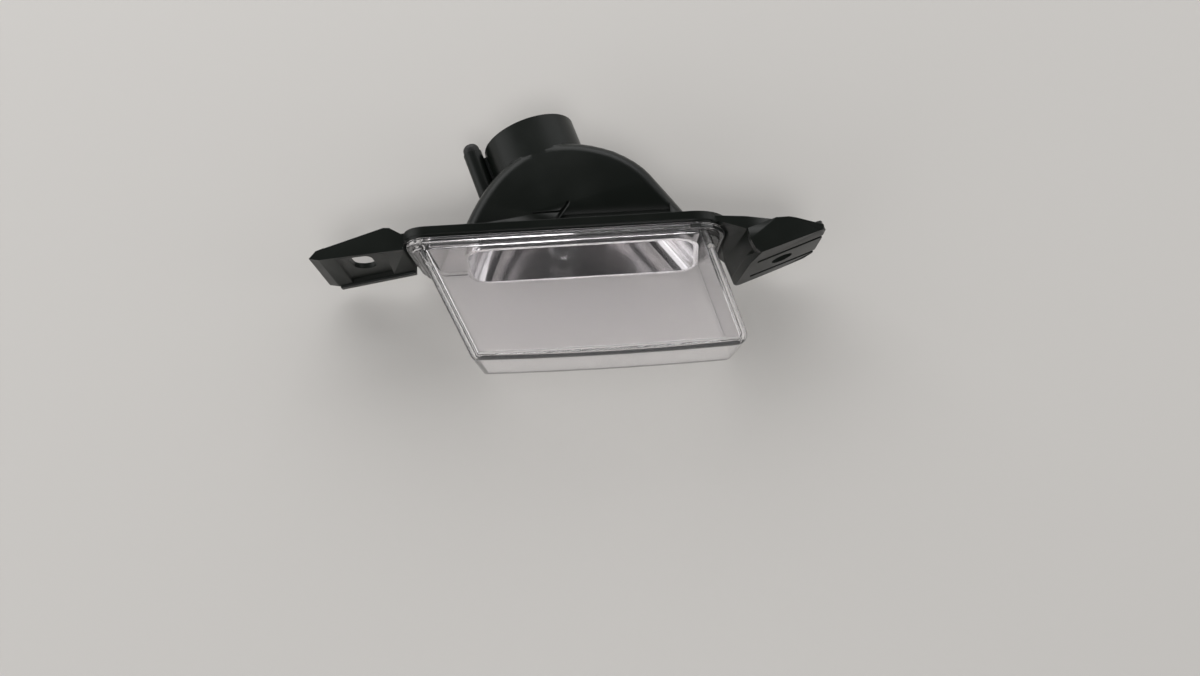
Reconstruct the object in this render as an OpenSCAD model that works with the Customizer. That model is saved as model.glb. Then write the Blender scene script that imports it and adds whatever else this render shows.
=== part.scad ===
// Reversing light for a rear bumper, in millimetres.
// The bulb axis is the Y axis: the light leaves towards -Y and the bulb goes in from +Y. +Z is up.
// The origin lies on the bulb axis, in the front face of the lens flange.
// The rim and the lens front are swept back, so they are drawn in a frame turned by the sweep:
// its x runs along the rim, its y runs to the rear, and s counts forwards from the origin.

/* [Rim] */
// Angle by which the rim is swept back, seen from above
sweep = 17.5; // [15:0.5:19]
// Reach of the rim to the left of the bulb axis, along the sweep
rim_left = 60; // [59:0.5:62]
// Reach of the rim to the right of the bulb axis, along the sweep
rim_right = 56; // [55:0.5:58]
// Distance by which the rim stands out above and below the dome
rim_out = 4.5; // [4.5:0.25:6]
// Thickness of the rim
rim_t = 3.8; // [3.8:0.1:5]
// Corner radius at the left end of the rim
rim_left_r = 9; // [6:0.5:12]
// Corner radius at the right end of the rim
rim_right_r = 14; // [8:0.5:16]
// Width of the groove in the rim that takes the lens
groove_w = 2.4; // [2.2:0.1:2.6]
// Depth of the groove in the rim
groove_d = 3; // [2.4:0.1:3.2]
// Distance from the rim's edge to the middle of the groove
groove_in = 2.4; // [2.2:0.1:2.5]
// Width of the small step along the rim's front edge
rim_step_w = 0.6; // [0.4:0.1:0.8]
// Height of the small step along the rim's front edge
rim_step_h = 0.9; // [0.5:0.1:1.2]

/* [Dome] */
// Distance from the origin to the back of the dome
apex_y = 37.8; // [36.8:0.1:38.4]
// Focal length of the dome's curve, seen from above
dome_f = 15.3; // [14.5:0.05:16]
// Half of the dome's height
dome_half_h = 18; // [17.8:0.1:18.4]
// Wall of the housing
wall = 2.2; // [1.8:0.1:2.5]
// Radius of the edge between the dome's flat faces and its curved side
dome_edge_r = 4.5; // [4.2:0.1:5]
// Distance from the bulb axis to where the right flank starts
flank_x = 33; // [31:0.5:34]
// Angle of the right flank to the bulb axis
flank_a = 18.5; // [16:0.5:19.5]
// Length of the bend between the curve and the right flank
flank_bend = 7; // [4:0.5:9]
// Depth of the recess in the top of the dome, next to the rim
recess_d = 1.2; // [0.6:0.1:1.4]

/* [Collar] */
// Outer radius of the collar behind the dome
collar_r = 17.8; // [17.6:0.1:18.2]
// Wall of the collar beside the bulb holder
collar_wall = 2.4; // [2.2:0.1:2.6]
// Distance from the origin to the end of the collar
collar_end = 48.75; // [48.25:0.25:50.5]
// Width of the seat for the sealing ring in the collar's floor
seat_w = 2.4; // [2.2:0.1:2.8]

/* [Vent] */
// Outer radius of the vent tube
vent_r = 3.5; // [3.2:0.1:3.8]
// Radius of the vent's bore
vent_bore_r = 1.9; // [1.6:0.1:2.1]
// Distance from the bulb axis to the vent, to the left
vent_x = 22.1; // [21.6:0.1:22.8]
// Height of the vent above the bulb axis
vent_z = 2; // [0:0.5:4]
// Length by which the vent tube passes the end of the collar
vent_past = 1.4; // [0.5:0.1:3]
// Radius of the vent plug's head
plug_r = 3.1; // [2.6:0.1:3.2]
// Height of the vent plug's head
plug_h = 2.4; // [2:0.1:3]
// Length of the vent plug's shank
plug_shank = 5; // [3:0.5:7]

/* [Lens] */
// Distance from the flange to the front of the lens, square to the rim
lens_depth = 42.5; // [38:0.5:45]
// Wall of the lens
lens_wall = 2.6; // [2.2:0.1:2.8]
// Distance by which the lens is higher than the dome at the top
lens_over = 1; // [0.8:0.1:1.3]
// Distance by which the lens is lower than the dome at the bottom
lens_under = 1.6; // [1:0.1:1.8]
// Reach of the lens root to the left, along the sweep
root_left = 55.2; // [54:0.1:55.6]
// Reach of the lens root to the right, along the sweep
root_right = 48.4; // [47.8:0.1:49]
// Draft of the left wall, from the pull of the mould
draft_left = 6.4; // [3:0.2:8]
// Draft of the right wall, negative where the lens widens forwards
draft_right = -2.9; // [-4:0.1:0]
// Slope of the right wall: the lens is wider at the bottom
lean_right = 2; // [0:0.5:3]
// Slope of the front: its bottom lies further back
lean_front = 2.5; // [0:0.5:5]
// Radius of the lens's upper edges
lens_edge_r = 2.8; // [2.4:0.1:3.2]
// Radius of the lens's lower edges
lens_low_r = 1.6; // [1.2:0.1:2]
// Radius of the lens's front corners, seen from above
lens_corner_r = 3.2; // [2:0.2:4]
// Radius of the curved front, seen from above
front_r = 1200; // [800:50:2000]
// Thickness of the lens flange
flange_t = 2; // [1.6:0.1:2.4]
// Distance from the edge of the rim to the edge of the lens flange
flange_in = 0.9; // [0.6:0.1:1.2]
// Distance from the edge of the lens flange to the step on it
step_in = 1.9; // [1.4:0.1:2.2]
// Height of the step on the lens flange
step_h = 1.6; // [1.2:0.1:2]
// Thickness of the tongue that sits in the groove
tongue_w = 1.6; // [1.2:0.1:1.8]
// Thickness of the sealant under the tongue
sealant_t = 1; // [0.6:0.1:1.2]

/* [Reflector] */
// Clearance between the reflector and the housing
reflector_gap = 0.3; // [0.2:0.05:0.4]
// Wall of the reflector
reflector_t = 1.5; // [1.2:0.1:1.6]
// Distance from the origin's plane to the reflector's lip
lip_out = 1.8; // [0.6:0.2:2.2]
// Thickness of the plate around the reflector's mouth
bezel_t = 1.4; // [1:0.1:1.6]
// Gap between that plate and the lens
bezel_gap = 0.4; // [0.3:0.1:0.6]

/* [Bulb holder] */
// Clearance between the bulb holder and the collar
holder_gap = 0.4; // [0.3:0.05:0.6]
// Distance from the end of the collar to the holder's back face
holder_sunk = 1; // [0.5:0.1:1.4]
// Thickness of the holder's sealing ring
seal_t = 1.2; // [1:0.1:1.4]
// Radius of the holder's nose
nose_r = 10; // [9.5:0.1:10.5]
// Length of the holder's nose
nose_len = 2.9; // [2.6:0.1:3.1]
// Number of locking lugs on the holder
lug_count = 3; // [2, 3]
// Length of each locking lug along the bulb axis
lug_h = 3; // [2.4:0.1:3.4]
// Width of the socket for the connector
socket_w = 12; // [11.6:0.1:12.4]
// Height of the socket for the connector
socket_h = 5.6; // [5.2:0.1:6]
// Depth of the socket for the connector
socket_d = 8.6; // [8.4:0.1:8.8]
// Width of each contact blade
blade_w = 2.8; // [2.4:0.1:2.9]
// Distance from the middle of the socket to each blade
blade_x = 2.3; // [2.2:0.1:2.5]
// Thickness of the contact strips
strip_t = 0.5; // [0.4:0.05:0.55]

/* [Bulb] */
// Radius of the bulb's glass
bulb_r = 7.8; // [7.2:0.1:8]
// Length of the glass in front of the holder
bulb_len = 27.5; // [26:0.5:29]
// Thickness of the bulb's glass
glass_t = 0.7; // [0.5:0.1:0.9]
// Length of the flat glass base
wedge_len = 9; // [8.6:0.1:9.2]
// Half of the width of the flat glass base
wedge_half_w = 6; // [5.6:0.1:6.2]
// Half of the thickness of the flat glass base
wedge_half_t = 2.2; // [2:0.1:2.3]
// Distance from the holder to the filament
light_centre = 20.6; // [19:0.2:21.4]
// Radius of the lead wires
lead_r = 0.25; // [0.2:0.05:0.3]
// Half of the distance between the lead wires
lead_x = 2.2; // [2:0.1:2.6]
// Radius of the coiled filament
coil_r = 0.5; // [0.4:0.05:0.6]

/* [Left ear] */
// Angle of the left ear, seen from above
ear_l_angle = 13.4; // [11:0.2:15]
// Length of the left ear from the rim to its tip
ear_l_len = 34.5; // [33:0.5:38]
// Half of the left ear's height
ear_l_half_h = 17; // [16.5:0.25:18]
// Distance by which the left ear grows outwards towards its bottom
ear_l_lean = 2.3; // [0:0.1:3]
// Distance by which the left ear's bottom rises towards the rim
ear_l_rise = 8; // [4:0.5:10]
// Thickness of the walls of both ears
ear_wall = 2; // [1.8:0.1:2.4]
// Depth of the panel around the slot
panel_d = 1.4; // [0.8:0.1:1.6]
// Width of the slot in the left ear
slot_w = 8; // [6.5:0.5:8.5]
// Height of the slot in the left ear
slot_h = 14; // [10:0.5:15]
// Distance from the rim to the slot
slot_at = 18.5; // [17:0.5:20]
// Height of the slot's middle above the bulb axis
slot_z = 4.8; // [4:0.2:6]

/* [Right ear] */
// Distance from the end of the rim forwards to the right ear's front face
ear_r_ahead = 18.3; // [17.5:0.1:19.5]
// Distance from the end of the rim to the right ear's inner side
ear_r_past = 2.3; // [1.8:0.1:3]
// Width of the right ear's front face
ear_r_w = 28.5; // [27.5:0.5:30]
// Height of the right ear's top above the bulb axis
ear_r_top = 22; // [21:0.25:22.5]
// Depth of the right ear's foot below the bulb axis
ear_r_foot = 17; // [16:0.25:18]
// Distance by which the right ear's inner side leans towards the lens at its foot
ear_r_lean = 3.7; // [2:0.1:4.5]
// Radius of the screw hole in the right ear
screw_r = 4; // [3:0.1:4.4]
// Thickness of the plate behind the right ear's front face
ear_r_t = 3.4; // [3:0.1:3.8]
// Distance from the ear's inner side to the screw hole
screw_at = 13.5; // [12:0.5:15]
// Height of the screw hole above the bulb axis
screw_z = 1.5; // [0:0.5:3]
// Distance from the screw hole's middle to the middle of each groove beside it
ear_groove_at = 9; // [8.5:0.1:10]
// Slope of both grooves in the right ear's front face
ear_groove_a = 7; // [0:1:8]
// Height of each groove in the right ear's front face
ear_groove_h = 2.6; // [1:0.1:3]
// Depth of each groove in the right ear's front face
ear_groove_d = 1.6; // [0.8:0.1:1.8]

/* [Hidden] */
$fn = 64;
eps = 0.01;
far = 200;

// Heights of the rim and the lens
rim_half_h = dome_half_h + rim_out;
lens_top = dome_half_h + lens_over;
lens_bottom = dome_half_h + lens_under;

// Planes square to the sweep, as distances in front of the origin
rim_front = -flange_t;
rim_back = rim_front - rim_t;
groove_floor = rim_front - groove_d;
tongue_end = groove_floor + sealant_t;

// Places along the bulb axis
floor_y = apex_y - 1.1;
holder_front = floor_y + seal_t;
holder_back = collar_end - holder_sunk;
nose_front = holder_front - nose_len;
filament_y = nose_front - light_centre;
wedge_end = nose_front + wedge_len;
socket_floor = holder_back - socket_d;
vent_end = collar_end + vent_past;

// The bulb holder and its bayonet lock
bore_r = collar_r - collar_wall;
throat_r = bore_r - seat_w;
holder_r = bore_r - holder_gap;
lug_out = 1.2;
lug_arc = 24;
lug_turn = 38;
lug_play = 0.2;
lug_y = holder_back - 3.4 - lug_h;
socket_z = -9.5;
strip_play = 0.1;
pocket_half_h = wedge_half_t + 2 * lead_r + strip_t + strip_play;
pocket_half_w = wedge_half_w + 0.6;
strip_side = pocket_half_w + 0.8;

// The dome's outline runs on in front of the rim and is cut off there
outline_front = -40;
outline_left = 46;
outline_steps = 22;
bend_steps = 4;
edge_steps = 4;
slice_t = 0.2;
stub_start = apex_y - 12;
bore_start = stub_start - 2;

// Distance from the right ear's top down to its arm
arm_drop = 2;

// The right end of the rim's back face, where the right ear starts
rim_end_x = rim_right * cos(sweep) - rim_back * sin(sweep);
rim_end_y = -rim_right * sin(sweep) - rim_back * cos(sweep);

// Turns the sweep's frame into place
module swept() {
    rotate([0, 0, -sweep]) children();
}

// A plate in the sweep's frame, from one distance in front of the origin to another
module plate(from, to) {
    swept()
        translate([0, -from, 0])
        rotate([90, 0, 0])
        linear_extrude(to - from) children();
}

// Everything behind the plane at distance s
module behind(s) {
    swept() translate([-far, -s, -far]) cube([2 * far, far, 2 * far]);
}

// Everything in front of the plane at distance s
module ahead(s) {
    swept() translate([-far, -s - far, -far]) cube([2 * far, far, 2 * far]);
}

// A cylinder along the bulb axis between two places
module rod(from, to, r, x = 0, z = 0) {
    translate([x, from, z]) rotate([-90, 0, 0]) cylinder(h = to - from, r = r);
}

// Part of a ring round the bulb axis
module sector(from, to, r1, r2, start, arc) {
    translate([0, from, 0]) rotate([-90, 0, 0]) rotate([0, 0, start])
        linear_extrude(to - from)
        difference() {
            intersection() {
                circle(r2);
                polygon([[0, 0], [far, 0], far * [cos(arc), sin(arc)]]);
            }
            circle(r1);
        }
}

// A box between two corners
module box(low, high) {
    translate(low) cube(high - low);
}

// The rim's outline, drawn smaller by inset
module rim_outline(inset) {
    l = rim_left - inset;
    r = rim_right - inset;
    h = rim_half_h - inset;
    rl = rim_left_r - inset;
    rr = rim_right_r - inset;
    translate([-l + rl, -h]) square([l + r - rl - rr, 2 * h]);
    translate([-l, -h + rl]) square([l, 2 * (h - rl)]);
    translate([0, -h + rr]) square([r, 2 * (h - rr)]);
    for (m = [-1, 1]) {
        translate([-l + rl, m * (h - rl)]) circle(rl);
        translate([r - rr, m * (h - rr)]) circle(rr);
    }
}

// A band along the rim, w wide, with its middle line at distance inset from the edge
module rim_band(inset, w) {
    difference() {
        rim_outline(inset - w / 2);
        rim_outline(inset + w / 2);
    }
}

// The dome's curve seen from above
function curve_y(x) = apex_y - x * x / (4 * dome_f);

// The dome's outline: the curve, a bend, a straight right flank and a plain front
function dome_points() =
    let (
        start = flank_x - flank_bend,
        corner = [flank_x, curve_y(flank_x)],
        flank = [sin(flank_a), -cos(flank_a)],
        first = [start, curve_y(start)],
        last = corner + flank_bend * flank,
        front = corner + (corner[1] - outline_front) / cos(flank_a) * flank,
        curve = [
            for (i = [0 : outline_steps - 1])
                let (x = -outline_left + i * (start + outline_left) / outline_steps)
                [x, curve_y(x)]
        ],
        bend = [
            for (i = [0 : bend_steps])
                let (k = i / bend_steps)
                (1 - k) * (1 - k) * first + 2 * k * (1 - k) * corner + k * k * last
        ]
    )
    concat(curve, bend, [front, [-outline_left, outline_front]]);

// The direction out of an edge of an outline that runs clockwise
function outwards(edge) = [-edge[1], edge[0]] / norm(edge);

// An outline with every edge moved inwards by inset
function shrunk(points, inset) = [
    for (i = [0 : len(points) - 1])
        let (
            before = points[(i + len(points) - 1) % len(points)],
            after = points[(i + 1) % len(points)],
            a = outwards(points[i] - before),
            b = outwards(after - points[i])
        )
        points[i] - inset * (a + b) / (1 + a * b)
];

// The dome as a block with round edges, drawn smaller by inset
module dome_block(inset) {
    h = dome_half_h - inset;
    r = dome_edge_r - inset;
    hull()
        for (m = [-1, 1], k = [0 : edge_steps])
            let (a = 90 * k / edge_steps)
            translate([0, 0, m * (h - r + r * cos(a)) - (m > 0 ? slice_t : 0)])
            linear_extrude(slice_t)
            polygon(shrunk(dome_points(), inset + r - r * sin(a)));
}

// The lens seen from above at height z, in the sweep's frame
module lens_plan(z, inset) {
    drop = lens_top - z;
    rear = -12;
    steps = 6;
    front = lens_depth - drop * tan(lean_front);
    left = -root_left + front * tan(sweep + draft_left);
    right = root_right + front * tan(sweep + draft_right) + drop * tan(lean_right);
    middle = (left + right) / 2;
    face = [
        for (i = [0 : steps])
            let (x = left + (right - left) * i / steps)
            [x, -front + (x - middle) * (x - middle) / (2 * front_r)]
    ];
    rear_left = -root_left + rear * tan(sweep + draft_left);
    rear_right = root_right + rear * tan(sweep + draft_right) + drop * tan(lean_right);
    offset(r = lens_corner_r) offset(delta = -lens_corner_r - inset)
        polygon(concat(face, [[rear_right, -rear], [rear_left, -rear]]));
}

// The lens's box as a block with round edges, drawn smaller by inset
module lens_block(inset) {
    top_r = lens_edge_r - min(inset, lens_edge_r - 1);
    low_r = lens_low_r - min(inset, lens_low_r - 1);
    top = lens_top - inset;
    low = -lens_bottom + inset;
    swept() hull()
        for (k = [0 : edge_steps])
            let (
                a = 90 * k / edge_steps,
                upper = top - top_r + top_r * cos(a),
                lower = low + low_r - low_r * cos(a)
            ) {
                translate([0, 0, upper - slice_t]) linear_extrude(slice_t)
                    lens_plan(upper, inset + top_r - top_r * sin(a));
                translate([0, 0, lower]) linear_extrude(slice_t)
                    lens_plan(lower, inset + low_r - low_r * sin(a));
            }
}

// A profile drawn in x and z, from one distance behind the front to another
module profile(from, to) {
    translate([0, to, 0]) rotate([90, 0, 0]) linear_extrude(to - from) children();
}

// The outer end of the left ear seen from above, moved outwards by lean
module ear_end(z, lean) {
    end = -ear_l_len - lean;
    translate([0, 0, z]) linear_extrude(slice_t)
        polygon([[end + 3.3, eps], [end, 0.9], [end + 2.5, 3.4], [end + 5.4, 4.2], [end + 5.4, eps]]);
}

// The left ear: a channel with a slotted front plate, open to the rear
module left_ear() {
    h = ear_l_half_h;
    front_t = panel_d + ear_wall;
    tip = -ear_l_len;
    low_tip = tip - ear_l_lean;
    inner_low = ear_l_rise - h;
    lip = 0.9;
    swept() translate([-rim_left + 1.7, -0.2, 0]) rotate([0, 0, sweep - ear_l_angle]) {
        difference() {
            profile(0, front_t)
                polygon([[4, h], [tip + 3.3, h], [low_tip + 3.3, 1.7 - h], [low_tip + 4.4, 0.4 - h], [4, inner_low]]);
            // Sunk panel round the slot
            profile(-panel_d, panel_d)
                polygon([[-8, h - 1.2], [tip + 8.9, h - 1.2], [tip + 7, 3.4 - h], [-10.5, inner_low]]);
            // Slot for the screw
            translate([-slot_at, 0, slot_z]) rotate([-90, 0, 0]) {
                for (m = [-1, 1])
                    translate([0, m * (slot_h - slot_w) / 2, -1])
                        cylinder(h = front_t + 2, r = slot_w / 2);
                translate([-slot_w / 2, -(slot_h - slot_w) / 2, -1])
                    cube([slot_w, slot_h - slot_w, front_t + 2]);
            }
        }
        // Top wall
        translate([0, 0, h - ear_wall]) linear_extrude(ear_wall)
            polygon([[4, 0], [tip + 3.3, 0], [tip, 0.9], [tip + 2.5, 3.4], [-7.7, 8.9], [-5.6, 8.6],
                [-1.8, 5.9], [4, 5.9]]);
        // Bottom wall, which rises to the rim and stands proud of the front as a lip
        profile(-lip, 4.6)
            polygon([[low_tip + 4.2, -h - 0.6], [4, inner_low - 0.6], [4, inner_low + ear_wall],
                [low_tip + 4.2, ear_wall - h]]);
        // Outer wall
        hull() {
            ear_end(h - slice_t, 0);
            ear_end(1.7 - h, ear_l_lean);
            ear_end(0.4 - h, ear_l_lean - 1.6);
        }
        // Rib between the slot and the rim
        box([-9, front_t - 1, inner_low], [-7, 6.4, h - 1]);
    }
}

// One stretch of the right ear's side wall, between two outlines at its foot and its top
module side_wall(low, high) {
    hull() {
        translate([0, 0, -ear_r_foot + 0.4]) linear_extrude(slice_t) polygon(low);
        translate([0, 0, ear_r_top - arm_drop - slice_t]) linear_extrude(slice_t) polygon(high);
    }
}

// The right ear: a deep box with a grooved front plate, open to the rear
module right_ear() {
    f = -ear_r_ahead;
    top = ear_r_top;
    foot = -ear_r_foot;
    left = ear_r_past;
    low_left = left + 1.3 - ear_r_lean;
    right = left + ear_r_w;
    arm_top = top - arm_drop;
    bend = f + 10.3;
    // Edge of the arm seen from above, from the front round the tip to the rear
    tip_edge = [[right - 5, f], [right - 3.2, f + 0.5], [right - 2.9, f + 1.6], [right - 10.9, f + 7.4],
        [right - 13, f + 8.6], [right - 17.3, f + 9.9]];
    translate([rim_end_x, rim_end_y, 0]) {
        difference() {
            profile(f, f + ear_r_t)
                polygon([[left + 2.8, top], [left + 1.6, top - 1.2], [left - 0.9, top - 11], [low_left, foot + 2.3],
                    [low_left + 0.7, foot + 0.7], [low_left + 2.4, foot], [left + 15, foot + 2.1],
                    [right - 3, foot + 4.4], [right - 0.1, foot + 8.2], [right, foot + 12], [right - 1, top - 13],
                    [right - 2.3, top - 2], [right - 3.2, top - 0.6], [right - 5, top]]);
            // Screw hole, with a groove above and a groove below
            translate([left + screw_at, f, screw_z]) {
                rotate([-90, 0, 0]) translate([0, 0, -1]) cylinder(h = ear_r_t + 2, r = screw_r);
                for (m = [-1, 1])
                    rotate([0, -ear_groove_a, 0])
                        box([m - 11, -1, m * ear_groove_at - ear_groove_h / 2],
                            [ear_r_w, ear_groove_d, m * ear_groove_at + ear_groove_h / 2]);
            }
        }
        // Arm from the rim
        translate([0, 0, arm_top - ear_wall]) linear_extrude(ear_wall)
            polygon(concat([[-5.7, 0.5], [-8, -1.9], [-5.3, -1.7], [left + 0.8, bend], [left, f + 5.8],
                [left + 0.3, f + 2.1], [left + 1.8, f]], tip_edge, [[4.2, -3.6]]));
        // Raised pad on the arm
        translate([0, 0, arm_top - eps]) linear_extrude(arm_drop + eps)
            polygon(concat([[left + 0.4, f + 9.8], [left - 0.2, f + 5.8], [left + 0.2, f + 2.1],
                [left + 0.8, f + 0.8], [left + 1.8, f]], tip_edge));
        // Side wall towards the lens, in two stretches
        side_wall([[low_left, f + 0.6], [low_left + ear_wall, f + 0.6], [low_left + ear_wall, bend + 0.6], [low_left, bend]],
            [[left + 1.6, f + 0.6], [left + 3.6, f + 0.6], [left + 3, bend + 0.6], [left + 0.8, bend]]);
        side_wall([[low_left, bend - 0.1], [low_left + ear_wall, bend + 0.5], [1, -3], [-3.2, -2.4]],
            [[left + 0.8, bend - 0.1], [left + 3, bend + 0.5], [-3, -1.9], [-5.3, -1.7]]);
        // Bottom wall
        profile(f + 0.6, bend)
            polygon([[low_left, foot + 2.3], [low_left + 0.7, foot + 0.7], [low_left + 2.4, foot], [left + 15, foot + 2.1],
                [left + 15, foot + 4.1], [low_left + 2, foot + 2.6]]);
        // Rib behind the front plate
        box([right - 9, f + ear_r_t - 1, foot + 5], [right - 7, f + 6, arm_top - 1]);
    }
}

// The marks moulded into the top of the dome beside the rim
module dome_marks() {
    top = dome_half_h;
    back = -rim_back;
    swept() {
        intersection() {
            rotate([90, 0, 90]) translate([0, 0, -rim_left]) linear_extrude(rim_left + rim_right)
                polygon([[back - 1, top + 1], [back - 1, top - recess_d], [back + 3.2, top - recess_d],
                    [back + 6.3, top + eps], [back + 6.3, top + 1]]);
            linear_extrude(2 * top)
                polygon([[0, back + 7], [35.2, back + 7], [35.2, back - 2], [-6.8, back - 2]]);
        }
        box([-13.7, back + 3.9, top - 0.9], [-3.9, back + 4.8, top + 1]);
        translate([-6.1, back - 0.3, top - 0.9]) rotate([0, 0, 54]) cube([10, 1, 3]);
    }
}

// The collar's bore: throat, seat for the holder, lock groove and a way into it for each lug
module collar_bore() {
    way_r = holder_r + lug_out + lug_play;
    groove_r = way_r + 0.1;
    low = lug_y - lug_play;
    high = lug_y + lug_h + lug_play;
    rotate([-90, 0, 0]) rotate_extrude()
        polygon([[0, bore_start], [throat_r, bore_start], [throat_r, floor_y], [bore_r, floor_y],
            [bore_r, low], [groove_r, low], [groove_r, high], [bore_r, high],
            [bore_r, collar_end + 1], [0, collar_end + 1]]);
    for (i = [0 : lug_count - 1])
        sector(lug_y + 1, collar_end + 2, 5, way_r, 360 * i / lug_count + lug_turn, lug_arc + 2);
}

// Black moulded housing: dome, rim, collar, vent tube and both ears in one piece
module housing() {
    color([0.06, 0.065, 0.06]) difference() {
        union() {
            intersection() {
                dome_block(0);
                behind(rim_back + 1);
            }
            plate(rim_back, rim_front - rim_step_h) rim_outline(0);
            plate(rim_front - rim_step_h - eps, rim_front) rim_outline(rim_step_w);
            rod(stub_start, collar_end, collar_r);
            rod(stub_start, vent_end, vent_r, -vent_x, vent_z);
            // Web between the vent tube and the collar
            box([-vent_x, apex_y - 8, vent_z - 0.8], [-bore_r - 1, collar_end - 2, vent_z + 0.8]);
            difference() {
                union() {
                    left_ear();
                    right_ear();
                }
                plate(rim_front, rim_front + 12) rim_outline(-0.4);
                plate(rim_back - 30, rim_back + 0.5) rim_outline(rim_half_h - dome_half_h);
            }
        }
        // Hollow of the dome, open through the rim
        intersection() {
            dome_block(wall);
            behind(rim_front + 2);
        }
        plate(groove_floor, rim_front + 1) rim_band(groove_in, groove_w);
        rod(bore_start, vent_end + 1, vent_bore_r, -vent_x, vent_z);
        collar_bore();
        dome_marks();
    }
}

// Clear lens: a deep box with a stepped flange and a tongue that sits in the rim's groove
module lens() {
    color([0.85, 0.87, 0.88, 0.35]) difference() {
        union() {
            intersection() {
                lens_block(0);
                ahead(rim_front + 1);
            }
            plate(rim_front, 0) rim_outline(flange_in);
            plate(-eps, step_h) rim_outline(flange_in + step_in);
            plate(tongue_end, rim_front + eps) rim_band(groove_in, tongue_w);
        }
        lens_block(lens_wall);
    }
}

// Bead of sealant in the bottom of the rim's groove
module lens_sealant() {
    color([0.12, 0.12, 0.12])
        plate(groove_floor, tongue_end) rim_band(groove_in, groove_w);
}

// Metallised reflector with a hole for the bulb and a plate round its mouth
module reflector() {
    outer = wall + reflector_gap;
    color([0.86, 0.87, 0.88]) difference() {
        union() {
            intersection() {
                dome_block(outer);
                behind(lip_out);
            }
            intersection() {
                lens_block(lens_wall + bezel_gap);
                behind(rim_front + bezel_t);
                ahead(rim_front);
            }
        }
        dome_block(outer + reflector_t);
        rod(0, apex_y, nose_r + 0.5);
    }
}

// Plug in the end of the vent tube
module vent_plug() {
    cap_h = 1.2;
    cap_r = (plug_r * plug_r + cap_h * cap_h) / (2 * cap_h);
    color([0.1, 0.1, 0.1]) {
        rod(vent_end - plug_shank, vent_end + eps, vent_bore_r - 0.05, -vent_x, vent_z);
        translate([-vent_x, vent_end, vent_z]) rotate([-90, 0, 0]) intersection() {
            cylinder(h = plug_h, r = plug_r);
            translate([0, 0, plug_h - cap_r]) sphere(cap_r);
        }
    }
}

// One contact strip, from the bulb's flat base to a blade in the socket, grown by play
module contact_strip(side, face, play) {
    leaf = wedge_half_t + 2 * lead_r;
    mirror([side < 0 ? 1 : 0, 0, 0]) {
        // Leaf that presses on the lead wire
        mirror([0, 0, face < 0 ? 1 : 0]) {
            box([1 - play, nose_front + 1.5 - play, leaf - play],
                [pocket_half_w - 0.2, nose_front + 7.5 + play, leaf + strip_t + play]);
            box([1 - play, socket_floor - strip_t - play, leaf - play],
                [strip_side + 2 + play, nose_front + 7.5 + play, leaf + strip_t + play]);
        }
        // Web down the side and foot under the socket
        box([strip_side - play, socket_floor - strip_t - play, socket_z - strip_t / 2 - play],
            [strip_side + 2 + play, socket_floor + play / 2, face * (leaf + strip_t / 2)]);
        box([blade_x - play, socket_floor - strip_t - play, socket_z - 1.3 - play],
            [strip_side + 2 + play, socket_floor + play / 2, socket_z + 1.3 + play]);
        // Blade
        box([blade_x - play, socket_floor - strip_t, socket_z - strip_t / 2 - play],
            [blade_x + blade_w + play, holder_back - 1.6, socket_z + strip_t / 2 + play]);
    }
}

// Twist-in bulb holder, sunk in the collar, with the socket for the connector in its back
module bulb_holder() {
    color([0.16, 0.16, 0.17]) difference() {
        union() {
            rod(holder_front, holder_back, holder_r);
            rod(nose_front, holder_front + eps, nose_r);
            for (i = [0 : lug_count - 1])
                sector(lug_y, lug_y + lug_h, holder_r - 1, holder_r + lug_out, 360 * i / lug_count, lug_arc);
        }
        // Pocket for the bulb's flat base
        box([-pocket_half_w, nose_front - 1, -pocket_half_h],
            [pocket_half_w, wedge_end + 2 * lead_r + 0.1, pocket_half_h]);
        // Socket for the connector
        box([-socket_w / 2, socket_floor, socket_z - socket_h / 2],
            [socket_w / 2, holder_back + 1, socket_z + socket_h / 2]);
        contact_strip(1, 1, strip_play);
        contact_strip(-1, -1, strip_play);
        // Finger recesses on both sides of the grip
        for (m = [0, 1]) mirror([m, 0, 0])
            box([1.8, holder_back - 2.4, pocket_half_h + 1.2], [9.4, holder_back + 1, 11]);
    }
}

// Rubber ring between the holder and the collar's floor
module holder_seal() {
    color([0.3, 0.1, 0.08]) difference() {
        rod(floor_y, holder_front, bore_r - 0.3);
        rod(floor_y - 1, holder_front + 1, throat_r + 0.3);
    }
}

// Contact strip on the live side
module live_contact() {
    color([0.78, 0.66, 0.36]) contact_strip(1, 1, 0);
}

// Contact strip on the earth side
module earth_contact() {
    color([0.78, 0.66, 0.36]) contact_strip(-1, -1, 0);
}

// Bulb of glass, with a flat base that pushes into the holder
module bulb_glass() {
    shoulder = 5;
    neck_r = 5.4;
    ball = bulb_len - bulb_r;
    color([0.9, 0.92, 0.93, 0.35]) translate([0, nose_front, 0]) rotate([90, 0, 0]) difference() {
        union() {
            cylinder(h = shoulder, r1 = neck_r, r2 = bulb_r);
            translate([0, 0, shoulder]) cylinder(h = ball - shoulder, r = bulb_r);
            translate([0, 0, ball]) sphere(bulb_r);
            translate([-wedge_half_w, -wedge_half_t, -wedge_len])
                cube([2 * wedge_half_w, 2 * wedge_half_t, wedge_len + eps]);
        }
        translate([0, 0, shoulder - 1.5]) cylinder(h = 1.5 + eps, r1 = bulb_r - 2, r2 = bulb_r - glass_t);
        translate([0, 0, shoulder]) cylinder(h = ball - shoulder, r = bulb_r - glass_t);
        translate([0, 0, ball]) sphere(bulb_r - glass_t);
        for (m = [-1, 1]) translate([m * lead_x, 0, -wedge_len - 1])
            cylinder(h = wedge_len + shoulder, r = lead_r + 0.02);
    }
}

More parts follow.
